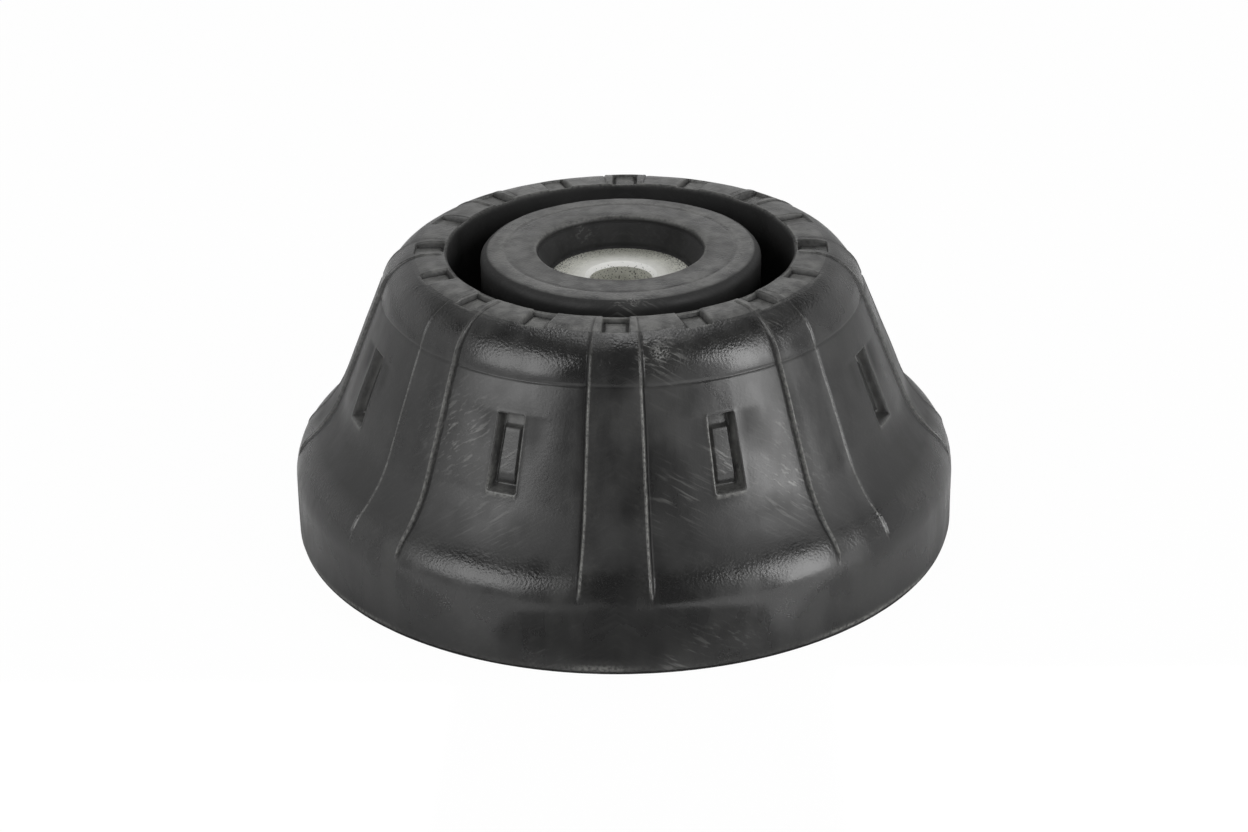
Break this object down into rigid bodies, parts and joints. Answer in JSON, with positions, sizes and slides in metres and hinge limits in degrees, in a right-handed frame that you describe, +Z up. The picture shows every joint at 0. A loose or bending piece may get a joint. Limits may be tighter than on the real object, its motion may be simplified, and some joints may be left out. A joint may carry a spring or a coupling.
{
  "type": "strut mount",
  "caption": "Conical rubber strut mount with raised strips, pocket windows and a notched top ring, round a steel core that carries a strut's piston rod.",
  "frame": {"origin": "centre of the skirt's foot, on the surface that the mount stands on", "axes": "+Z up along the mount's axis, -Y towards one of the raised strips"},
  "size_m": [0.1304, 0.1304, 0.057],
  "materials": {
    "moulded_rubber": "satin black moulded rubber",
    "zinc_plated_steel": "pale zinc plating"
  },
  "bodies": {
    "root": {"rubber_insulator": "moulded_rubber", "steel_core": "zinc_plated_steel"}
  },
  "joints": []
}
